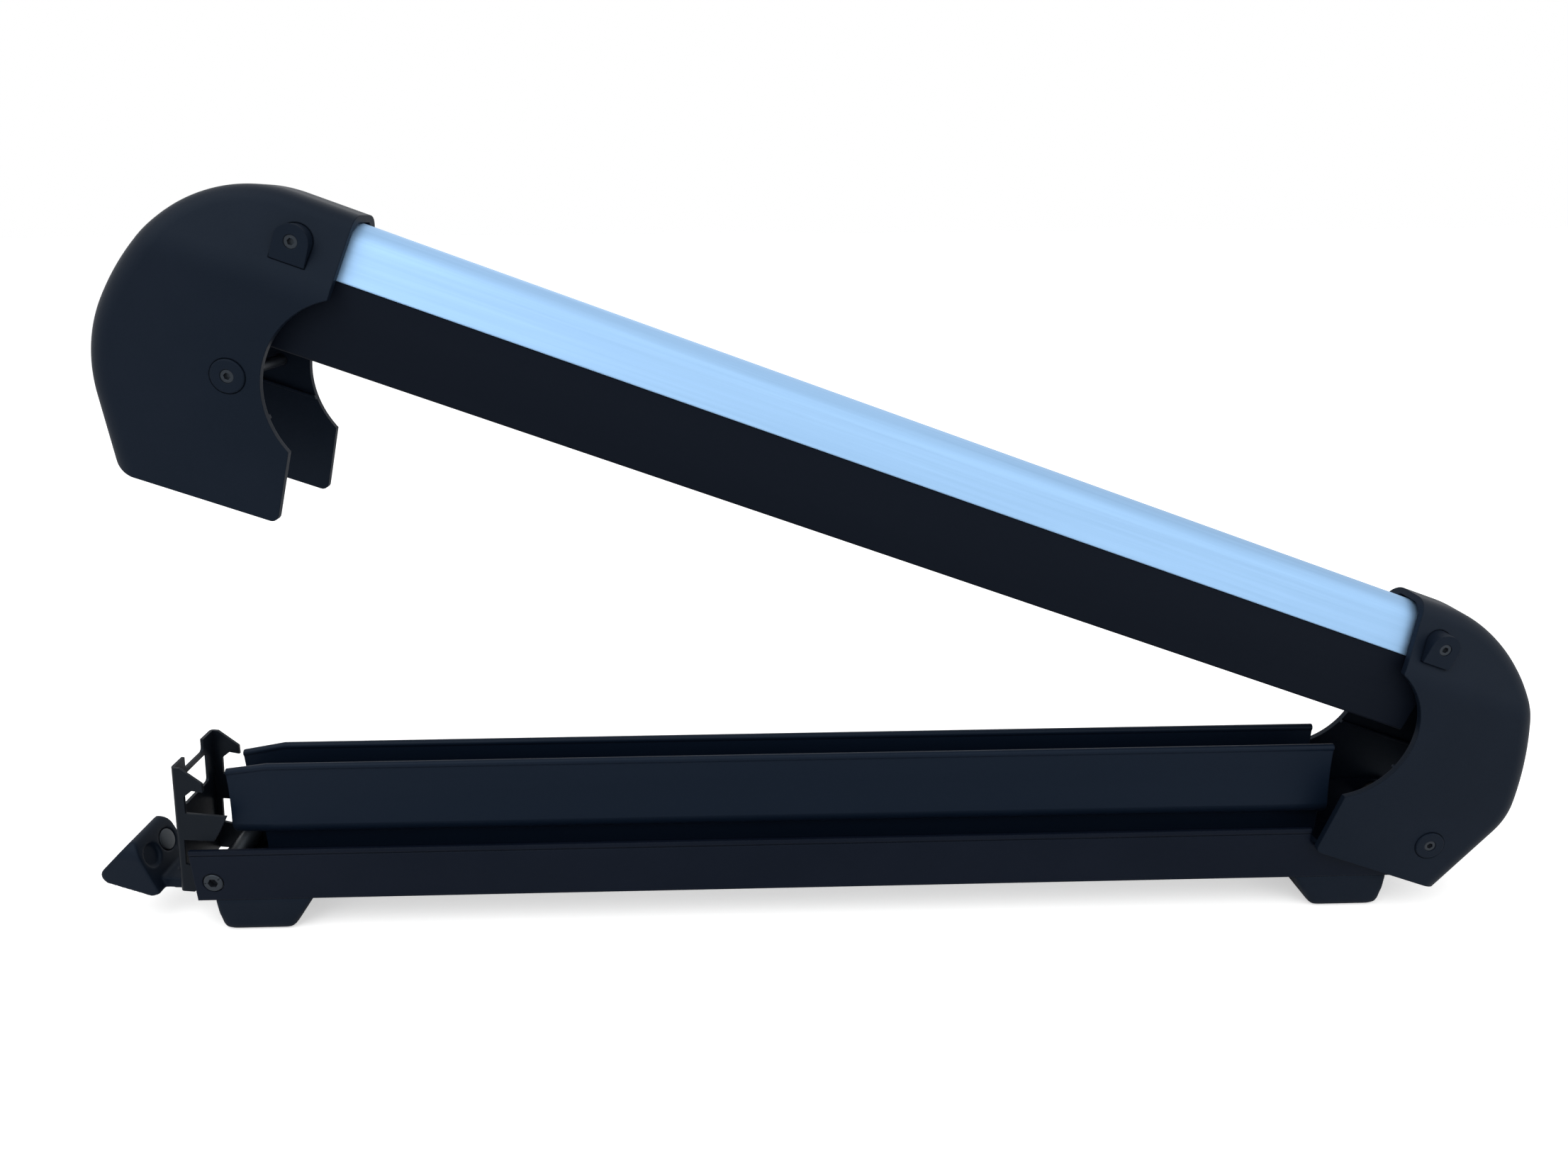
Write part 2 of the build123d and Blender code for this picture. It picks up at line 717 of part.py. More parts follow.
def make_cap(form, start, side, trim, pin, bolt, rib):
    """Moulded cap: two side plates joined by a rounded wall, open below and at its mouth."""
    outside = cap_block(form, start, side, 0, 0)
    inside = cap_block(form, start, side, cap_wall, cap_inner_bevel)
    with BuildPart() as cap:
        add(outside.part)
        with BuildSketch(arm_side(pad_face)):
            with Locations((bolt, arch_bolt_rise)):
                Circle(head_recess_diameter / 2)
        extrude(amount=pad_face)
        add(inside.part, mode=Mode.SUBTRACT)
        begin, end, rise = rib
        for way in (1, -1):
            with BuildSketch(arm_side(way * cap_half(rise, cap_wall / 2))):
                with Locations(((begin + end) / 2, rise)):
                    Rectangle(abs(end - begin), cap_rib_thickness)
            extrude(amount=way * (cap_rib_height + cap_wall / 2))
        with BuildSketch(arm_side()):
            add(trim)
            along, pin_rise, bore = pin
            with Locations((along, pin_rise)):
                Circle(bore / 2 + fit_clearance)
            with Locations((bolt, arch_bolt_rise)):
                Circle(arch_bolt_diameter / 2 + fit_clearance)
        extrude(amount=rail_width, both=True, mode=Mode.SUBTRACT)
        with BuildSketch(arm_side(cap_half(pin_rise, head_recess))):
            with Locations((along, pin_rise)):
                Circle(head_recess_diameter / 2)
        extrude(amount=-2 * head_recess, mode=Mode.SUBTRACT)
        with BuildSketch(arm_side(-cap_half(pin_rise, disc_recess))):
            with Locations((along, pin_rise)):
                Circle(disc_diameter / 2 + slide_clearance)
        extrude(amount=2 * disc_recess, mode=Mode.SUBTRACT)
    return cap


def arch_outline(along, rise, grow):
    """Arch: a half round over a square foot, seen from the side."""
    half = arch_width / 2 + grow
    foot_drop = arch_height - arch_width / 2 + grow
    with BuildSketch(mode=Mode.PRIVATE) as arch:
        with BuildLine():
            Line((along - half, rise), (along - half, rise - foot_drop))
            Line((along - half, rise - foot_drop), (along + half, rise - foot_drop))
            Line((along + half, rise - foot_drop), (along + half, rise))
            ThreePointArc((along + half, rise), (along, rise + half), (along - half, rise))
        make_face()
    return arch.sketch


def make_arch(along, front, grow):
    """Arch-shaped prism that stands in its recess on a cap's near shoulder."""
    start = along - cap_run
    core = cap_core(start, disc_recess)
    with BuildPart() as arch:
        with BuildSketch(arm_side(-front)):
            add(arch_outline(along, arch_bolt_rise, grow))
        extrude(amount=5 - front)
        add(core.part, mode=Mode.SUBTRACT)
    return arch


latch_shell = make_cap(
    latch_form,
    -arm_reach - cap_run,
    1,
    mouth_trim(-arm_reach, 1, latch_mouth, latch_corner),
    (-arm_reach, latch_pin_rise, latch_pin_diameter),
    latch_arch_x,
    (-arm_reach - 50, -arm_reach + 35, cap_lower_rib),
)
latch_arch_seat = make_arch(latch_arch_x, rail_width, slide_clearance)
with BuildPart() as latch_cap:
    add(latch_shell.part)
    with BuildSketch(arm_cross(-arm_reach - cap_run)):
        with Locations((0, knob_opening_top - 50)):
            Rectangle(knob_opening_width, 100)
        fillet(vertices().group_by(Axis.Y)[-1], 6)
    extrude(amount=cap_run, mode=Mode.SUBTRACT)
    add(latch_arch_seat.part, mode=Mode.SUBTRACT)
save(latch_cap, "latch_cap")

hinge_shell = make_cap(
    hinge_form,
    -2 * cap_run,
    -1,
    mouth_trim(0, -1, hinge_mouth, hinge_corner),
    (0, 0, hinge_pin_diameter),
    hinge_arch_x,
    (-60, 27, cap_lower_rib + 10),
)
hinge_arch_seat = make_arch(hinge_arch_x, rail_width, slide_clearance)
with BuildPart() as hinge_cap:
    add(hinge_shell.part)
    with BuildSketch(arm_cross(hinge_gate_start)):
        with Locations((0, hinge_gate_top - 50)):
            Rectangle(2 * hinge_gate_half, 100)
    extrude(amount=cap_run, mode=Mode.SUBTRACT)
    add(hinge_arch_seat.part, mode=Mode.SUBTRACT)
save(hinge_cap, "hinge_cap")


# Bolts through the caps
def make_barrel(along, rise, diameter, seat):
    """Barrel with a plain round head on the far side and a threaded bore at its near end."""
    near_end = cap_half(rise, pin_end_setback)
    with BuildPart() as barrel:
        with BuildSketch(arm_side(seat)):
            with Locations((along, rise)):
                Circle(head_diameter / 2)
        extrude(amount=-head_height)
        chamfer(edges().group_by(Axis.Y)[-1], 0.6)
        with BuildSketch(arm_side(seat)):
            with Locations((along, rise)):
                Circle(diameter / 2)
        extrude(amount=seat + near_end)
        with BuildSketch(arm_side(-near_end)):
            with Locations((along, rise)):
                Circle(min(screw_diameter, diameter - 2) / 2)
        extrude(amount=-screw_length, mode=Mode.SUBTRACT)
    return barrel


def make_screw(along, rise, face, seat, bore):
    """Socket screw whose head lies flush in a disc or arch block."""
    with BuildPart() as screw:
        with BuildSketch(arm_side(-face)):
            with Locations((along, rise)):
                Circle(screw_head_diameter / 2)
        extrude(amount=seat - face)
        with BuildSketch(arm_side(-face)):
            with Locations((along, rise)):
                Circle(bore / 2 - running_clearance)
        extrude(amount=cap_half(rise, pin_end_setback) - face - screw_length + 2)
        with BuildSketch(arm_side(-face)):
            with Locations((along, rise)):
                RegularPolygon(screw_socket / 2, 6, major_radius=False)
        extrude(amount=-socket_depth, mode=Mode.SUBTRACT)
    return screw


def make_disc(along, rise):
    """Round disc that covers the near end of a cross pin."""
    with BuildPart() as disc:
        with BuildSketch(arm_side(-cap_half(rise, disc_recess))):
            with Locations((along, rise)):
                Circle(disc_diameter / 2)
                Circle(screw_head_diameter / 2 + fit_clearance, mode=Mode.SUBTRACT)
        extrude(amount=disc_thickness)
        chamfer(edges().group_by(Axis.Y)[0].sort_by(SortBy.LENGTH)[-1], 0.4)
    return disc


def make_arch_block(along, front):
    """Arch-shaped block that locks the near end of a cap's bolt, with a stepped screw hole."""
    wedge = make_arch(along, front, 0)
    with BuildPart() as block:
        add(wedge.part)
        with BuildSketch(arm_side(-front)):
            with Locations((along, arch_bolt_rise)):
                Circle(screw_head_diameter / 2 + fit_clearance)
        extrude(amount=-arch_head_depth, mode=Mode.SUBTRACT)
        with BuildSketch(arm_side(-front)):
            with Locations((along, arch_bolt_rise)):
                Circle(arch_screw_bore / 2 + fit_clearance)
        extrude(amount=-front, mode=Mode.SUBTRACT)
    return block


def save_pin(prefix, along, rise, diameter):
    """Barrel, disc and screw of a cross pin."""
    seat = cap_half(rise, disc_recess)
    bore = min(screw_diameter, diameter - 2)
    save(make_barrel(along, rise, diameter, cap_half(rise, head_recess)), f"{prefix}_barrel")
    save(make_disc(along, rise), f"{prefix}_disc")
    face = seat + disc_thickness - slide_clearance
    save(make_screw(along, rise, face, seat, bore), f"{prefix}_screw")


def save_arch(prefix, along, proud):
    """Barrel, arch block and screw of the bolt through a cap and the extrusion."""
    front = cap_half(arch_bolt_rise - arch_height + arch_width / 2) + proud
    barrel = make_barrel(along, arch_bolt_rise, arch_bolt_diameter, pad_face)
    save(barrel, f"{prefix}_barrel")
    save(make_arch_block(along, front), f"{prefix}_block")
    face = front - slide_clearance
    seat = front - arch_head_depth
    save(make_screw(along, arch_bolt_rise, face, seat, arch_screw_bore), f"{prefix}_screw")


save_pin("hinge_pin", 0, 0, hinge_pin_diameter)
save_pin("latch_pin", -arm_reach, latch_pin_rise, latch_pin_diameter)
save_arch("latch_arch", latch_arch_x, latch_arch_proud)
save_arch("hinge_arch", hinge_arch_x, hinge_arch_proud)

# Latch plate
strip_inner = -plate_back + plate_strip
with BuildPart() as latch_plate:
    with BuildSketch(latch_side()):
        with BuildLine():
            Polyline(
                (-plate_back, -plate_bottom),
                (-plate_back, plate_top),
                (-plate_back + 4, plate_top),
                (hook_tip, 51.5),
                (hook_tip + 0.2, 46.9),
                (-9.2, 47.4),
                (strip_inner, 43.8),
                (strip_inner, 34.6),
                (lower_tab_tip, 34.6),
                (2.4, 25.7),
                (-0.5, 20.5),
                (-14.5, 20.0),
                (-14.5, 6.0),
                (-9.0, 5.0),
                (-9.0, -6.5),
                (-11.5, -plate_bottom),
                close=True,
            )
        make_face()
        with Locations((0, 0)):
            Circle(7.4)
        with Locations((-5, -0.7)):
            Rectangle(10, 12.6)
    extrude(amount=plate_width / 2, both=True)
    bends = edges().filter_by(
        lambda e: abs(abs(e.center().Y) - plate_width / 2) < 0.01 and e.length > plate_top
    )
    fillet(bends, plate_bend_round)
    with BuildSketch(latch_side()):
        with Locations((40 - plate_back + plate_thickness, 20)):
            Rectangle(80, 120)
    extrude(amount=plate_width / 2 - plate_thickness, both=True, mode=Mode.SUBTRACT)
    with BuildSketch(latch_side()):
        Circle(pivot_bush_diameter / 2 + running_clearance)
    extrude(amount=plate_width, both=True, mode=Mode.SUBTRACT)
    with BuildSketch(cross_plane(pivot_x, pivot_z, latch_rest_lean, -plate_back)):
        with Locations((0, 59.5)):
            Rectangle(plate_notch_width, 14)
        fillet(vertices().group_by(Axis.Y)[0], 2.0)
        with Locations((0, 42)):
            RectangleRounded(plate_window_width, 16, 2)
    extrude(amount=plate_thickness, mode=Mode.SUBTRACT)
    with BuildSketch(latch_side()):
        with BuildLine():
            Polyline(
                (-tongue_reach, -tongue_drop),
                (-plate_back + plate_thickness, -tongue_drop),
                (-plate_back + plate_thickness, 0),
                (-plate_back, 0),
                (-plate_back, -tongue_drop + plate_thickness),
                (-tongue_reach, -tongue_drop + plate_thickness),
                close=True,
            )
        make_face()
    extrude(amount=tongue_width / 2, both=True)
    with BuildSketch(cross_plane(pivot_x, pivot_z, latch_rest_lean + 90, tongue_drop - 5)):
        with Locations(*[(0, u) for u in rivet_spots]):
            Circle(rivet_diameter / 2 + fit_clearance)
    extrude(amount=10, mode=Mode.SUBTRACT)
save(latch_plate, "latch_plate")

# Release knob
face_top = (-43.5, 7.0)
face_foot = (-30.3, -15.3)
face_length = hypot(face_foot[0] - face_top[0], face_foot[1] - face_top[1])
face_mid = (-38.6, -3.6)


def knob_face(sink=0.0):
    """Plane on the knob's inner face, which looks at the plate."""
    turn = radians(latch_rest_lean)
    normal_u = -(face_foot[1] - face_top[1]) / face_length
    normal_v = (face_foot[0] - face_top[0]) / face_length
    normal = Vector(
        normal_u * cos(turn) + normal_v * sin(turn), 0, -normal_u * sin(turn) + normal_v * cos(turn)
    )
    base_u = face_top[0] + (face_top[1] - face_mid[1]) * (face_foot[0] - face_top[0]) / (
        face_top[1] - face_foot[1]
    )
    origin = Vector(
        pivot_x + base_u * cos(turn) + face_mid[1] * sin(turn),
        0,
        pivot_z - base_u * sin(turn) + face_mid[1] * cos(turn),
    )
    return Plane(origin=origin - normal * sink, x_dir=(0, 1, 0), z_dir=normal)


with BuildPart() as release_knob:
    with BuildSketch(latch_side()):
        with BuildLine():
            Polyline((-61.5, -9.5), (-43.5, 12.5), (-40.5, 8.0), face_foot, (-34.5, -17.0), close=True)
        make_face()
        fillet(vertices().sort_by(Axis.X)[0], 4.5)
        fillet(vertices().sort_by(Axis.Y)[-1], 2.5)
    extrude(amount=knob_width / 2, both=True)
    with BuildSketch(cross_plane(pivot_x, pivot_z, latch_rest_lean, -80)):
        with Locations((0, knob_crown - 30)):
            Rectangle(knob_width, 60)
        fillet(vertices().group_by(Axis.Y)[-1], knob_crown_round)
    extrude(amount=60, mode=Mode.INTERSECT)
    with BuildSketch(Plane.XY.offset(-knob_length)):
        with Locations((pivot_x - knob_reach + knob_length / 2, 0)):
            RectangleRounded(knob_length, knob_width, knob_tip_round)
    extrude(amount=3 * knob_length, mode=Mode.INTERSECT)
    with BuildSketch(latch_side()):
        neck_start = -plate_back - knob_neck_gap
        with Locations(((neck_start - 38) / 2, -tongue_drop + plate_thickness / 2)):
            RectangleRounded(38 + neck_start, knob_neck_height, 1.2)
    extrude(amount=knob_neck_width / 2, both=True)
    with BuildSketch(latch_side()):
        with Locations(((neck_start - tongue_reach) / 2, -tongue_drop + plate_thickness / 2)):
            tunnel = tongue_reach + neck_start + 2 * fit_clearance
            Rectangle(tunnel, plate_thickness + 2 * fit_clearance)
    extrude(amount=tongue_width / 2 + fit_clearance, both=True, mode=Mode.SUBTRACT)
    with BuildSketch(cross_plane(pivot_x, pivot_z, latch_rest_lean + 90, tongue_drop + 6)):
        with Locations(*[(0, u) for u in rivet_spots]):
            Circle(rivet_diameter / 2 + fit_clearance)
    extrude(amount=-rivet_length - 6, mode=Mode.SUBTRACT)
    with BuildSketch(knob_face()):
        with Locations((plug_spacing / 2, 0), (-plug_spacing / 2, 0)):
            Circle(plug_diameter / 2 + fit_clearance)
    extrude(amount=-plug_depth, mode=Mode.SUBTRACT)
save(release_knob, "release_knob")

with BuildPart() as knob_plug:
    with BuildSketch(knob_face(plug_depth)):
        with Locations((plug_spacing / 2, 0)):
            Circle(plug_diameter / 2)
    extrude(amount=plug_depth - 0.2)
save(knob_plug, "knob_plug")

with BuildPart() as knob_rivets:
    with BuildSketch(cross_plane(pivot_x, pivot_z, latch_rest_lean + 90, tongue_drop + 1.2)):
        with Locations(*[(0, u) for u in rivet_spots]):
            Circle(rivet_diameter / 2)
    extrude(amount=-rivet_length)
save(knob_rivets, "knob_rivets")

print("pieces", len(part_names))
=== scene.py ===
"""Looks of the roof carrier: materials, floor, lamps and the photograph's camera. Metres."""

import json
from math import cos, radians, sin

import bmesh
import bpy
from mathutils import Matrix, Vector


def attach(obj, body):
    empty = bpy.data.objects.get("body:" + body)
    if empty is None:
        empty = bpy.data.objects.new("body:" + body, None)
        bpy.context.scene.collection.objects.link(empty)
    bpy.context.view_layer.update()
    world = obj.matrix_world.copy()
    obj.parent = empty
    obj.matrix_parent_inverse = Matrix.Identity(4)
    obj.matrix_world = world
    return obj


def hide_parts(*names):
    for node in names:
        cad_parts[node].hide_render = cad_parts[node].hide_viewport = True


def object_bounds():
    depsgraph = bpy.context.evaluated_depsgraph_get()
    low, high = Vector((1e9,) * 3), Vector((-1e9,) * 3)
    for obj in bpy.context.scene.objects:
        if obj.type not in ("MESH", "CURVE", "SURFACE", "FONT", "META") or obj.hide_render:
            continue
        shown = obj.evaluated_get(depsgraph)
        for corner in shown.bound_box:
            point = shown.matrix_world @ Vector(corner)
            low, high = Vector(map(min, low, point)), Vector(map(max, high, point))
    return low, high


# The photograph's camera
PHOTO_WIDTH_PX = 2212
FOCAL_PX = 1487.26
SENSOR_MM = 36.0
CAMERA_AT = Vector((-0.022383, -0.466295, 0.332198))
CAMERA_YAW = 0.02538
CAMERA_PITCH = 0.34092
CAMERA_ROLL = -0.00625
CAMERA_CLIP_START = 0.01

# Lamps, with power in watts
LAMPS = {
    "key": {"at": (-0.9, -1.1, 1.9), "size": 2.4, "power": 24.0},
    "fill": {"at": (1.5, -1.2, 1.2), "size": 2.4, "power": 12.0},
    "back": {"at": (0.2, 1.6, 1.6), "size": 2.4, "power": 5.0},
}
LAMP_TARGET = Vector((0.0, 0.0, 0.13))
WORLD_STRENGTH = 0.55
WHITE = (1.0, 1.0, 1.0, 1.0)

FLOOR_SIZE = 40.0
FLOOR_GAP = 0.0002
FLOOR_COLOUR = (0.90, 0.90, 0.90, 1.0)
FLOOR_ROUGHNESS = 0.9
FLOOR_LIFT = 0.50

# Looks: two close colours, the range of roughness, and the settings of surface()
ARM_TURN = radians(20.1)
COOL = (0.70, 0.85, 1.0)
COLOUR_EDGES = (0.35, 0.65)
PATCH_DETAIL = 3.0
GRAIN_DETAIL = 2.0
BEVEL_SAMPLES = 4
LOOKS = {
    "rail_coat": dict(
        colours=((0.0030, 0.0052, 0.0120), (0.0040, 0.0064, 0.0140)), rough=(0.34, 0.46),
        grain=700, depth=0.00002, shine=0.10, tint=COOL, edge=0.0010,
    ),
    "latch_coat": dict(
        colours=((0.0036, 0.0052, 0.0086), (0.0048, 0.0066, 0.0104)), rough=(0.30, 0.42),
        grain=700, depth=0.00002, shine=0.14, tint=COOL, edge=0.0005,
    ),
    "moulded_black": dict(
        colours=((0.0044, 0.0080, 0.0155), (0.0058, 0.0096, 0.0180)), rough=(0.42, 0.54),
        grain=1500, depth=0.00003, shine=0.10, tint=COOL, edge=0.0007,
    ),
    "profile_rubber": dict(
        colours=((0.0030, 0.0046, 0.0092), (0.0042, 0.0060, 0.0112)), rough=(0.48, 0.62),
        grain=700, depth=0.00002, stretch=(14, 1, 1), turn_y=ARM_TURN, shine=0.08, tint=COOL,
        edge=0.0006,
    ),
    "trough_rubber": dict(
        colours=((0.0030, 0.0070, 0.0160), (0.0042, 0.0086, 0.0185)), rough=(0.38, 0.50),
        grain=700, depth=0.00002, stretch=(14, 1, 1), shine=0.13, tint=COOL, edge=0.0006,
    ),
    "anodised_aluminium": dict(
        colours=((0.285, 0.455, 0.665), (0.310, 0.490, 0.710)), rough=(0.52, 0.60), metallic=1.0,
        grain=1500, depth=0.00002, patch=420.0, stretch=(60, 1, 1), turn_y=ARM_TURN, edge=0.0009,
    ),
    "dark_bolt": dict(
        colours=((0.010, 0.012, 0.016), (0.014, 0.016, 0.021)), rough=(0.30, 0.42),
        grain=1200, depth=0.00001, shine=0.45, tint=COOL, edge=0.0003,
    ),
    "zinc_steel": dict(
        colours=((0.30, 0.30, 0.29), (0.38, 0.38, 0.37)), rough=(0.28, 0.42), metallic=1.0,
        depth=0.00001, edge=0.0002,
    ),
    "bush_plastic": dict(
        colours=((0.020, 0.020, 0.021), (0.026, 0.026, 0.027)), rough=(0.45, 0.60), shine=0.25,
        edge=0.0002,
    ),
}

# Nodes whose look isn't the one of their material slot
OWN_LOOK = {
    "lower_rubber_profile": "trough_rubber",
    "latch_pivot_bush": "dark_bolt",
    "hinge_pin_disc": "moulded_black",
    "latch_pin_disc": "moulded_black",
    "hinge_arch_block": "moulded_black",
    "latch_arch_block": "moulded_black",
}

# Release knob: soft moulded edges and two round seats on the face that looks at the plate
KNOB_FACE_NORMAL = Vector((0.957, 0.0, 0.290))
KNOB_FACE_MATCH = 0.99
KNOB_FACE_LEAST_AREA = 1e-5
KNOB_SEAT_DIAMETER = 0.0118
KNOB_SEAT_DEPTH = 0.0016
KNOB_SEAT_SPACING = 0.0142
KNOB_SEAT_RISE = 0.0035
KNOB_VOXEL = 0.0005
KNOB_SMOOTHING = 14
PLUG_GAP = 0.0005
PLUG_PROUD = 0.0001
PLUG_EDGE = 0.0004
DISC_SEGMENTS = 64
RIM_SEGMENTS = 3
ROUND_PROFILE = 0.5

# Feet: well rounded below, sharp where they meet the rail, with heights above the ground
FOOT_VOXEL = 0.0010
FOOT_SMOOTHING = 36
FOOT_SOFT_UP_TO = 0.0050
FOOT_SHARP_FROM = 0.0100

WELD_DISTANCE = 1e-6


def new_material(name):
    """An empty node material, as (material, nodes, links, shader)."""
    material = bpy.data.materials.new(name)
    material.use_nodes = True
    nodes = material.node_tree.nodes
    links = material.node_tree.links
    return material, nodes, links, nodes["Principled BSDF"]


def noise(nodes, links, scale, detail, stretch, turn_y):
    """Noise in the object's own coordinates, turned about Y and stretched along an axis."""
    coords = nodes.new("ShaderNodeTexCoord")
    mapping = nodes.new("ShaderNodeMapping")
    mapping.vector_type = "TEXTURE"
    mapping.inputs["Rotation"].default_value = (0.0, turn_y, 0.0)
    mapping.inputs["Scale"].default_value = stretch
    texture = nodes.new("ShaderNodeTexNoise")
    texture.inputs["Scale"].default_value = scale
    texture.inputs["Detail"].default_value = detail
    links.new(coords.outputs["Object"], mapping.inputs["Vector"])
    links.new(mapping.outputs["Vector"], texture.inputs["Vector"])
    return texture.outputs["Fac"]


def spread(nodes, links, source, low, high):
    """Map a 0 to 1 value onto the range from low to high."""
    node = nodes.new("ShaderNodeMapRange")
    node.inputs["To Min"].default_value = low
    node.inputs["To Max"].default_value = high
    links.new(source, node.inputs["Value"])
    return node.outputs["Result"]


def two_colours(nodes, links, source, colours):
    """Mix two colours by a 0 to 1 value."""
    ramp = nodes.new("ShaderNodeValToRGB")
    for stop, position, colour in zip(ramp.color_ramp.elements, COLOUR_EDGES, colours):
        stop.position = position
        stop.color = (*colour, 1.0)
    links.new(source, ramp.inputs["Fac"])
    return ramp.outputs["Color"]


def relief(nodes, links, shader, source, depth, edge):
    """Raise the surface by a 0 to 1 value times depth, over edges softened by edge, in metres."""
    soft = nodes.new("ShaderNodeBevel")
    soft.samples = BEVEL_SAMPLES
    soft.inputs["Radius"].default_value = edge
    bump = nodes.new("ShaderNodeBump")
    bump.inputs["Distance"].default_value = depth
    links.new(source, bump.inputs["Height"])
    links.new(soft.outputs["Normal"], bump.inputs["Normal"])
    links.new(bump.outputs["Normal"], shader.inputs["Normal"])


def surface(
    name, colours, rough, metallic=0.0, grain=900.0, depth=0.00004, patch=22.0,
    stretch=(1, 1, 1), turn_y=0.0, shine=0.5, tint=(1, 1, 1), edge=0.0005,
):
    """Grained surface: colours in soft patches, uneven gloss, a fine relief and soft edges."""
    material, nodes, links, shader = new_material(name)
    patches = noise(nodes, links, patch, PATCH_DETAIL, stretch, turn_y)
    fine = noise(nodes, links, grain, GRAIN_DETAIL, stretch, turn_y)
    links.new(two_colours(nodes, links, patches, colours), shader.inputs["Base Color"])
    links.new(spread(nodes, links, fine, *rough), shader.inputs["Roughness"])
    shader.inputs["Metallic"].default_value = metallic
    shader.inputs["Specular IOR Level"].default_value = shine
    shader.inputs["Specular Tint"].default_value = (*tint, 1.0)
    relief(nodes, links, shader, fine, depth, edge)
    return material


def new_piece(name, mesh):
    """Mesh as a piece of the scene."""
    piece = bpy.data.objects.new(name, mesh)
    bpy.context.scene.collection.objects.link(piece)
    return piece


def bake(piece):
    """Turn the piece's modifiers into plain mesh."""
    graph = bpy.context.evaluated_depsgraph_get()
    mesh = bpy.data.meshes.new_from_object(piece.evaluated_get(graph))
    piece.modifiers.clear()
    piece.data = mesh


def remesh(piece, voxel):
    """Give the piece an even fine mesh that can be smoothed."""
    modifier = piece.modifiers.new("remesh", "REMESH")
    modifier.mode = "VOXEL"
    modifier.voxel_size = voxel
    bake(piece)


def smooth(piece, rounds, group=""):
    """Round the piece's edges, only in its vertex group where one is named."""
    modifier = piece.modifiers.new("smooth", "SMOOTH")
    modifier.iterations = rounds
    modifier.vertex_group = group
    bake(piece)
    piece.data.shade_smooth()


def connected_shells(mesh):
    """The vertices of a bmesh, as one set for each connected shell."""
    left = set(mesh.verts)
    shells = []
    while left:
        front = [left.pop()]
        shell = set(front)
        while front:
            vertex = front.pop()
            near = {edge.other_vert(vertex) for edge in vertex.link_edges} & left
            left -= near
            shell |= near
            front.extend(near)
        shells.append(shell)
    return shells


def length_along_x(shell):
    """How far a set of vertices reaches along X."""
    places = [vertex.co.x for vertex in shell]
    return max(places) - min(places)


def outer_shell(name, node_name):
    """Copy of a node's welded outer surface, without the closed pockets inside it."""
    shape = bmesh.new()
    shape.from_mesh(frame["nodes"][node_name].data)
    bmesh.ops.remove_doubles(shape, verts=shape.verts, dist=WELD_DISTANCE)
    shells = sorted(connected_shells(shape), key=length_along_x)
    for pocket in shells[:-1]:
        bmesh.ops.delete(shape, geom=list(pocket), context="VERTS")
    mesh = bpy.data.meshes.new(name)
    shape.to_mesh(mesh)
    shape.free()
    return new_piece(name, mesh)


def disc(name, radius, low, high, place, edge=0.0):
    """Round disc from low to high along the Z of place, its rims rounded by edge."""
    shape = bmesh.new()
    middle = Matrix.Translation((0, 0, (low + high) / 2))
    bmesh.ops.create_cone(
        shape, cap_ends=True, segments=DISC_SEGMENTS, radius1=radius, radius2=radius,
        depth=high - low, matrix=place @ middle,
    )
    if edge:
        rims = [
            rim for rim in shape.edges
            if any(len(face.verts) == DISC_SEGMENTS for face in rim.link_faces)
        ]
        bmesh.ops.bevel(
            shape, geom=rims, offset=edge, segments=RIM_SEGMENTS, affect="EDGES",
            profile=ROUND_PROFILE,
        )
    mesh = bpy.data.meshes.new(name)
    shape.to_mesh(mesh)
    shape.free()
    return new_piece(name, mesh)


def knob_face(knob):
    """Middle and normal of the knob's flat face that looks at the plate."""
    flats = [
        face for face in knob.data.polygons
        if face.normal.dot(KNOB_FACE_NORMAL) > KNOB_FACE_MATCH and face.area > KNOB_FACE_LEAST_AREA
    ]
    area = sum(face.area for face in flats)
    middle = sum((face.center * face.area for face in flats), Vector()) / area
    normal = sum((face.normal * face.area for face in flats), Vector()).normalized()
    return middle, normal


def seat_place(middle, normal, side):
    """Place of one of the two round seats on the knob's face, with the face's normal as its Z."""
    upward = normal.cross(Vector((0, 1, 0)))
    if upward.z < 0:
        upward.negate()
    centre = middle + upward * KNOB_SEAT_RISE
    centre.y = side * KNOB_SEAT_SPACING / 2
    return Matrix.Translation(centre) @ normal.to_track_quat("Z", "Y").to_matrix().to_4x4()


def cut_seat(knob, place):
    """Cut a round seat into the knob."""
    cutter = disc("cutter", KNOB_SEAT_DIAMETER / 2, -KNOB_SEAT_DEPTH, KNOB_SEAT_DEPTH, place)
    cut = knob.modifiers.new("seat", "BOOLEAN")
    cut.object = cutter
    cut.operation = "DIFFERENCE"
    bake(knob)
    bpy.data.objects.remove(cutter)


def make_knob():
    """Release knob with soft edges and two round seats, and the plug in the second seat."""
    knob = outer_shell("knob_body", "release_knob")
    middle, normal = knob_face(knob)
    empty_seat, plug_seat = [seat_place(middle, normal, side) for side in (-1, 1)]
    cut_seat(knob, empty_seat)
    cut_seat(knob, plug_seat)
    remesh(knob, KNOB_VOXEL)
    smooth(knob, KNOB_SMOOTHING)
    plug_radius = KNOB_SEAT_DIAMETER / 2 - PLUG_GAP
    plug = disc("knob_plug_face", plug_radius, -KNOB_SEAT_DEPTH, PLUG_PROUD, plug_seat, PLUG_EDGE)
    plug.data.shade_smooth()
    return knob, plug


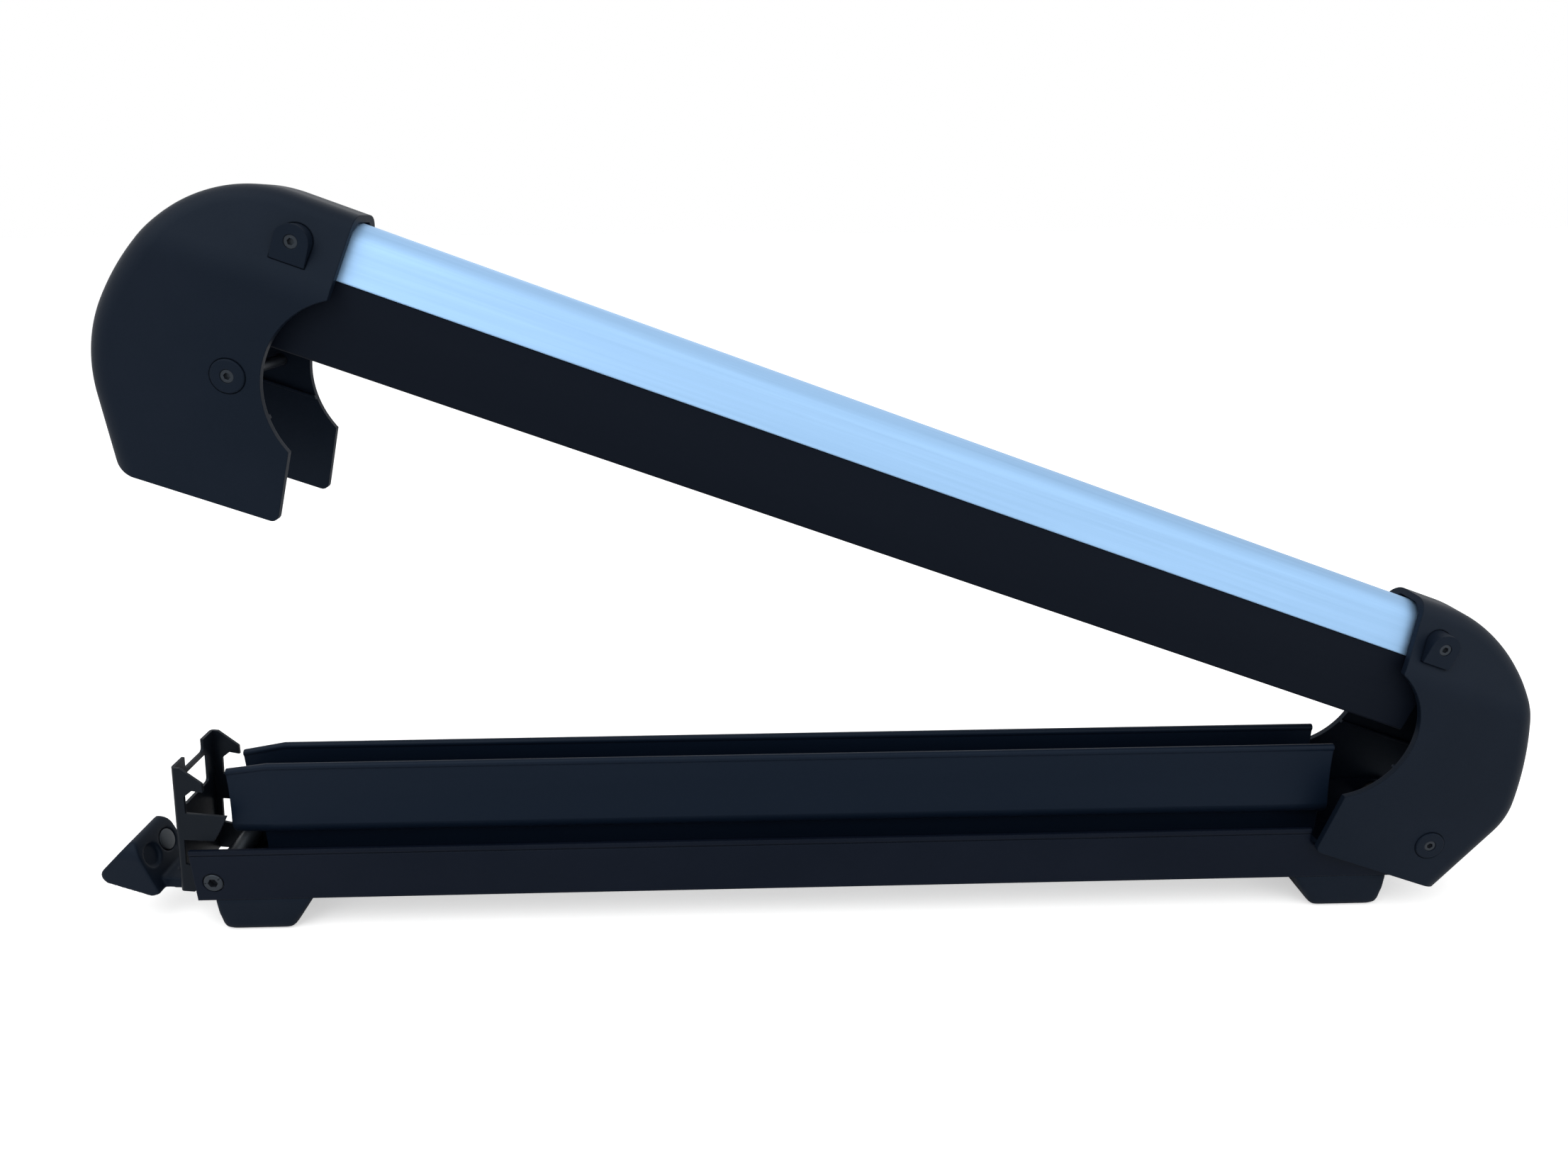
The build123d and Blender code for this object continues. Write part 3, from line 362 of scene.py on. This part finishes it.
def low_group(piece):
    """Name of a new vertex group that is full near the ground and fades out further up."""
    group = piece.vertex_groups.new(name="soft")
    for vertex in piece.data.vertices:
        height = vertex.co.z - cad_low.z
        share = (FOOT_SHARP_FROM - height) / (FOOT_SHARP_FROM - FOOT_SOFT_UP_TO)
        group.add([vertex.index], min(1.0, max(0.0, share)), "REPLACE")
    return group.name


def make_foot(name, node_name):
    """Foot with its lower edges well rounded."""
    foot = outer_shell(name, node_name)
    remesh(foot, FOOT_VOXEL)
    smooth(foot, FOOT_SMOOTHING, low_group(foot))
    return foot


def floor_look():
    """Pale matt floor that takes shadows, lifted to white where the camera sees it."""
    material, nodes, links, shader = new_material("floor")
    shader.inputs["Base Color"].default_value = FLOOR_COLOUR
    shader.inputs["Roughness"].default_value = FLOOR_ROUGHNESS
    shader.inputs["Emission Color"].default_value = WHITE
    path = nodes.new("ShaderNodeLightPath")
    lift = spread(nodes, links, path.outputs["Is Camera Ray"], 0.0, FLOOR_LIFT)
    links.new(lift, shader.inputs["Emission Strength"])
    return material


def make_world():
    """Even pale light, plain white where the camera or a reflection sees it."""
    world = bpy.data.worlds.new("studio")
    bpy.context.scene.world = world
    world.use_nodes = True
    nodes = world.node_tree.nodes
    links = world.node_tree.links
    background = nodes["Background"]
    background.inputs["Color"].default_value = WHITE
    path = nodes.new("ShaderNodeLightPath")
    seen = nodes.new("ShaderNodeMath")
    seen.operation = "MAXIMUM"
    links.new(path.outputs["Is Camera Ray"], seen.inputs[0])
    links.new(path.outputs["Is Glossy Ray"], seen.inputs[1])
    strength = spread(nodes, links, seen.outputs[0], WORLD_STRENGTH, 1.0)
    links.new(strength, background.inputs["Strength"])


def add_lamp(name, at, size, power):
    """Round lamp that looks at the carrier's middle."""
    light = bpy.data.lights.new(name, "AREA")
    light.shape = "DISK"
    light.size = size
    light.energy = power
    lamp = bpy.data.objects.new(name, light)
    lamp.location = at
    lamp.rotation_mode = "QUATERNION"
    lamp.rotation_quaternion = (LAMP_TARGET - Vector(at)).to_track_quat("-Z", "Y")
    bpy.context.scene.collection.objects.link(lamp)


def add_camera():
    """Camera at the photographer's place, turned by its yaw, pitch and roll."""
    camera_data = bpy.data.cameras.new("camera")
    camera_data.sensor_width = SENSOR_MM
    camera_data.lens = SENSOR_MM * FOCAL_PX / PHOTO_WIDTH_PX
    camera_data.clip_start = CAMERA_CLIP_START
    level = Vector((sin(CAMERA_YAW), cos(CAMERA_YAW), 0.0))
    forward = cos(CAMERA_PITCH) * level - sin(CAMERA_PITCH) * Vector((0.0, 0.0, 1.0))
    right = Vector((cos(CAMERA_YAW), -sin(CAMERA_YAW), 0.0))
    up = right.cross(forward)
    rolled_right = cos(CAMERA_ROLL) * right + sin(CAMERA_ROLL) * up
    rolled_up = cos(CAMERA_ROLL) * up - sin(CAMERA_ROLL) * right
    turn = Matrix((rolled_right, rolled_up, -forward)).transposed()
    camera = bpy.data.objects.new("camera", camera_data)
    camera.matrix_world = Matrix.Translation(CAMERA_AT) @ turn.to_4x4()
    bpy.context.scene.collection.objects.link(camera)
    bpy.context.scene.camera = camera


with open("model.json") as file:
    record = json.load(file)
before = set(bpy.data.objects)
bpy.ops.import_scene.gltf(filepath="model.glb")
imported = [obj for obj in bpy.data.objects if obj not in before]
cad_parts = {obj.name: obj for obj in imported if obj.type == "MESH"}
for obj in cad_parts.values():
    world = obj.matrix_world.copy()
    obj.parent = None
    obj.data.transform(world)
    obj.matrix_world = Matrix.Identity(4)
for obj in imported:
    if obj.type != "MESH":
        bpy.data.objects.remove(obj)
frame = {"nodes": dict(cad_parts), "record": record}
cad_low, cad_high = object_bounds()

materials = {name: surface(name, **look) for name, look in LOOKS.items()}
slot_of = {row["node"]: row["material_slot"] for row in frame["record"]["subparts"]}
for name, node in frame["nodes"].items():
    look = OWN_LOOK.get(name, slot_of[name])
    node.data.materials.clear()
    node.data.materials.append(materials[look])

knob, plug = make_knob()
knob.data.materials.append(materials["moulded_black"])
plug.data.materials.append(materials["dark_bolt"])
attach(knob, "latch")
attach(plug, "latch")
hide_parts("release_knob")
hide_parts("knob_plug")

for end in ("latch_end_foot", "hinge_end_foot"):
    foot = make_foot(f"{end}_soft", end)
    foot.data.materials.append(materials[slot_of[end]])
    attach(foot, "base")
    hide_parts(end)

bpy.ops.mesh.primitive_plane_add(size=FLOOR_SIZE, location=(0, 0, cad_low.z - FLOOR_GAP))
floor = bpy.context.object
floor.name = "floor"
floor.data.materials.append(floor_look())

make_world()
for name, lamp in LAMPS.items():
    add_lamp(name, **lamp)
add_camera()
bpy.context.scene.view_settings.view_transform = "Standard"
